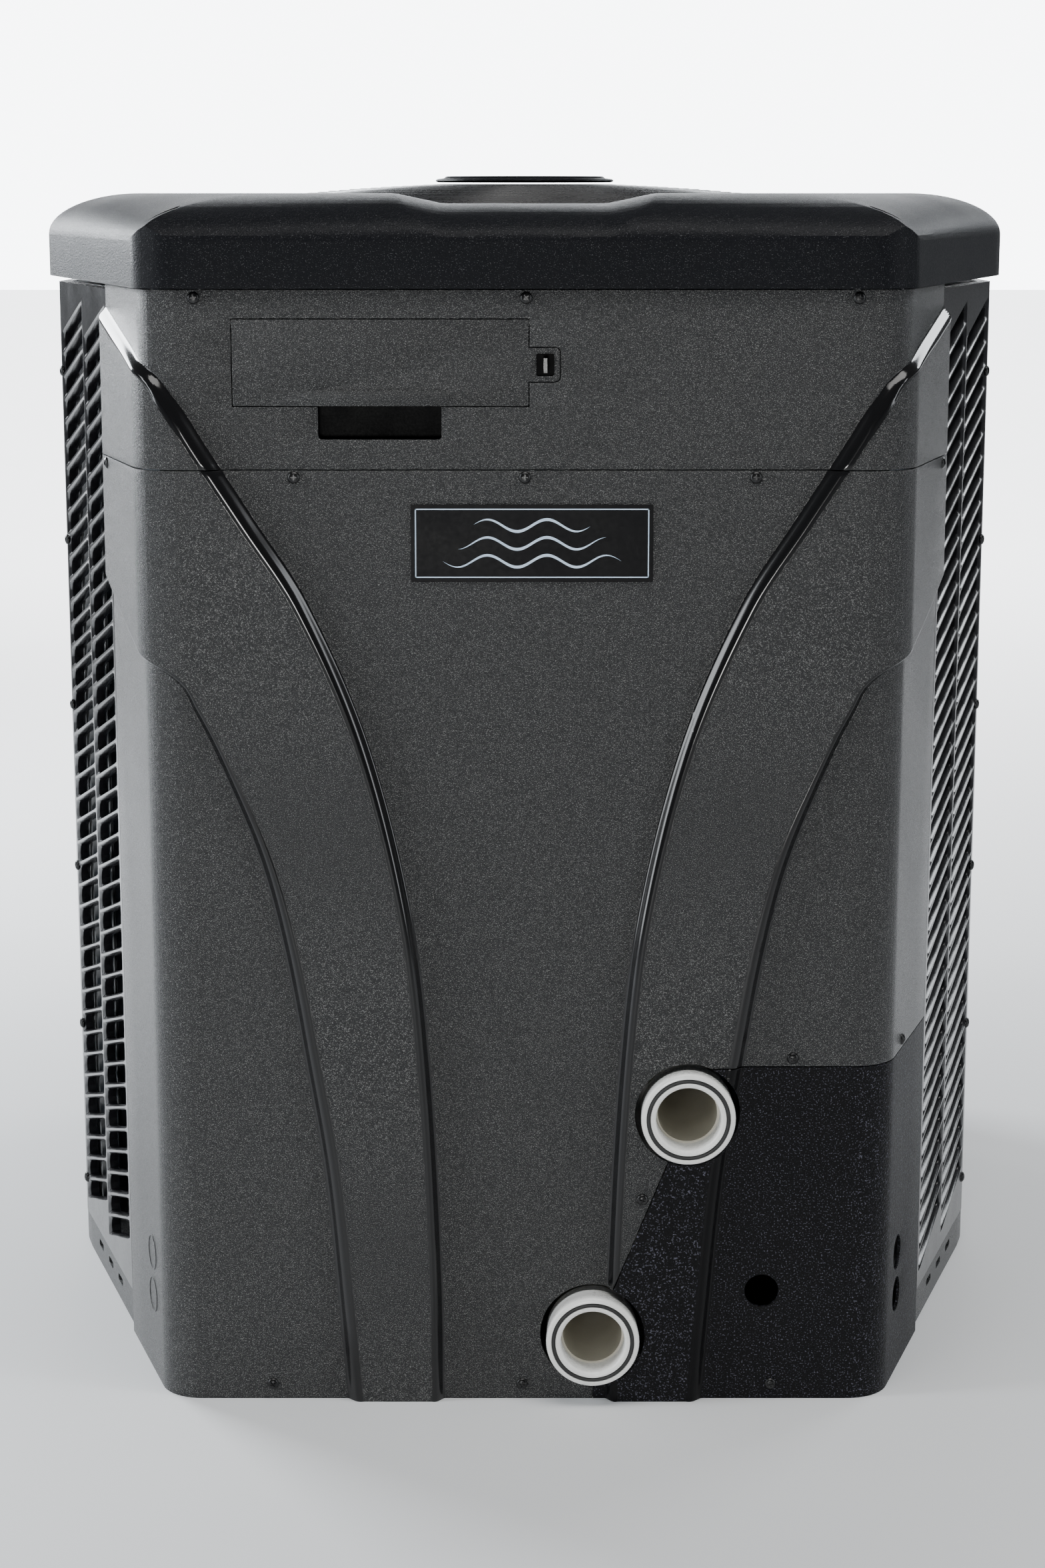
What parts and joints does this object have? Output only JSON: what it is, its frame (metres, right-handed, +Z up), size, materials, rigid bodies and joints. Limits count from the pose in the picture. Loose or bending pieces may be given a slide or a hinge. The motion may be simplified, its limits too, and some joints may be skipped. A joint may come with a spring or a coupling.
{
  "type": "pool heat pump unit",
  "caption": "Free-standing pool heat pump cabinet with a top fan, louvred sides, moulded front, flip-up control door and two front water unions.",
  "frame": {"origin": "centre of the cabinet's footprint, on the surface it stands on", "axes": "+Z up, -Y out of the front with the unions and the control door, +X to the right as seen from the front"},
  "size_m": [0.9234, 0.9574, 1.066],
  "materials": {
    "textured_black": "fine grained, satin, with a faint sparkle",
    "gloss_black": "glossy",
    "galvanised_steel": "spangled",
    "shroud_plastic": "satin",
    "motor_enamel": "semi-gloss",
    "bright_steel": "bright",
    "fan_aluminium": "milled",
    "coil_fins": "coated fins",
    "copper_tube": "drawn copper",
    "black_rubber": "matte",
    "white_pvc": "smooth",
    "brass": "machined",
    "drier_enamel": "semi-gloss",
    "armature_plastic": "smooth",
    "circuit_board": "solder mask",
    "display_glass": "clear",
    "button_rubber": "satin",
    "label_film": "satin film"
  },
  "bodies": {
    "cabinet": {"base_pan": "textured_black", "inner_frame": "galvanised_steel", "lower_front_panel": "textured_black", "upper_front_panel": "textured_black", "pipe_access_panel": "textured_black", "left_front_grille": "gloss_black", "left_side_grille": "gloss_black", "left_rear_grille": "gloss_black", "rear_grille": "gloss_black", "right_rear_grille": "gloss_black", "right_side_grille": "gloss_black", "right_front_grille": "gloss_black", "rear_corner_posts": "gloss_black", "top_cover": "textured_black", "fan_guard": "gloss_black", "guard_centre_disc": "textured_black", "fan_shroud": "shroud_plastic", "fan_motor": "motor_enamel", "evaporator_coil": "coil_fins", "coil_end_plates": "galvanised_steel", "coil_return_bends": "copper_tube", "compressor": "motor_enamel", "compressor_grommets": "black_rubber", "compressor_terminal_cover": "shroud_plastic", "heat_exchanger": "white_pvc", "inlet_pipe": "white_pvc", "outlet_pipe": "white_pvc", "inlet_union": "white_pvc", "outlet_union": "white_pvc", "inlet_o_ring": "black_rubber", "outlet_o_ring": "black_rubber", "water_pressure_switch": "black_rubber", "reversing_valve": "brass", "discharge_line": "copper_tube", "suction_line": "copper_tube", "exchanger_gas_line": "copper_tube", "coil_gas_line": "copper_tube", "liquid_line": "copper_tube", "filter_drier": "drier_enamel", "expansion_valve": "brass", "electrical_box": "galvanised_steel", "electrical_box_lid": "galvanised_steel", "contactor": "shroud_plastic", "run_capacitor": "fan_aluminium", "control_board": "circuit_board", "terminal_block": "shroud_plastic", "control_tray": "shroud_plastic", "display_window": "display_glass", "door_hinge_pin": "bright_steel", "lock_staple": "bright_steel", "label_plate": "label_film", "cabinet_screws": "bright_steel"},
    "fan": {"motor_shaft": "bright_steel", "fan_hub": "fan_aluminium", "fan_blades": "fan_aluminium"},
    "door": {"control_door": "textured_black"},
    "up_key": {"up_button": "button_rubber"},
    "down_key": {"down_button": "button_rubber"},
    "mode_key": {"mode_button": "button_rubber"},
    "armature": {"contactor_armature": "armature_plastic"}
  },
  "joints": [
    {"name": "fan_spin", "type": "hinge", "parent": "cabinet", "child": "fan", "pos_m": [0, 0, 0.886], "axis": [0, 0, 1], "continuous": true},
    {"name": "door_hinge", "type": "hinge", "parent": "cabinet", "child": "door", "pos_m": [-0.12, -0.462, 0.9453], "axis": [-1, 0, 0], "range_deg": [0, 90]},
    {"name": "up_key_press", "type": "slide", "parent": "cabinet", "child": "up_key", "axis": [0, 1, 0], "range_m": [0, 0.001], "stiffness_N_per_m": 400},
    {"name": "down_key_press", "type": "slide", "parent": "cabinet", "child": "down_key", "axis": [0, 1, 0], "range_m": [0, 0.001], "stiffness_N_per_m": 400},
    {"name": "mode_key_press", "type": "slide", "parent": "cabinet", "child": "mode_key", "axis": [0, 1, 0], "range_m": [0, 0.001], "stiffness_N_per_m": 400},
    {"name": "contactor_pull_in", "type": "slide", "parent": "cabinet", "child": "armature", "axis": [0, 1, 0], "range_m": [0, 0.003], "stiffness_N_per_m": 400}
  ]
}
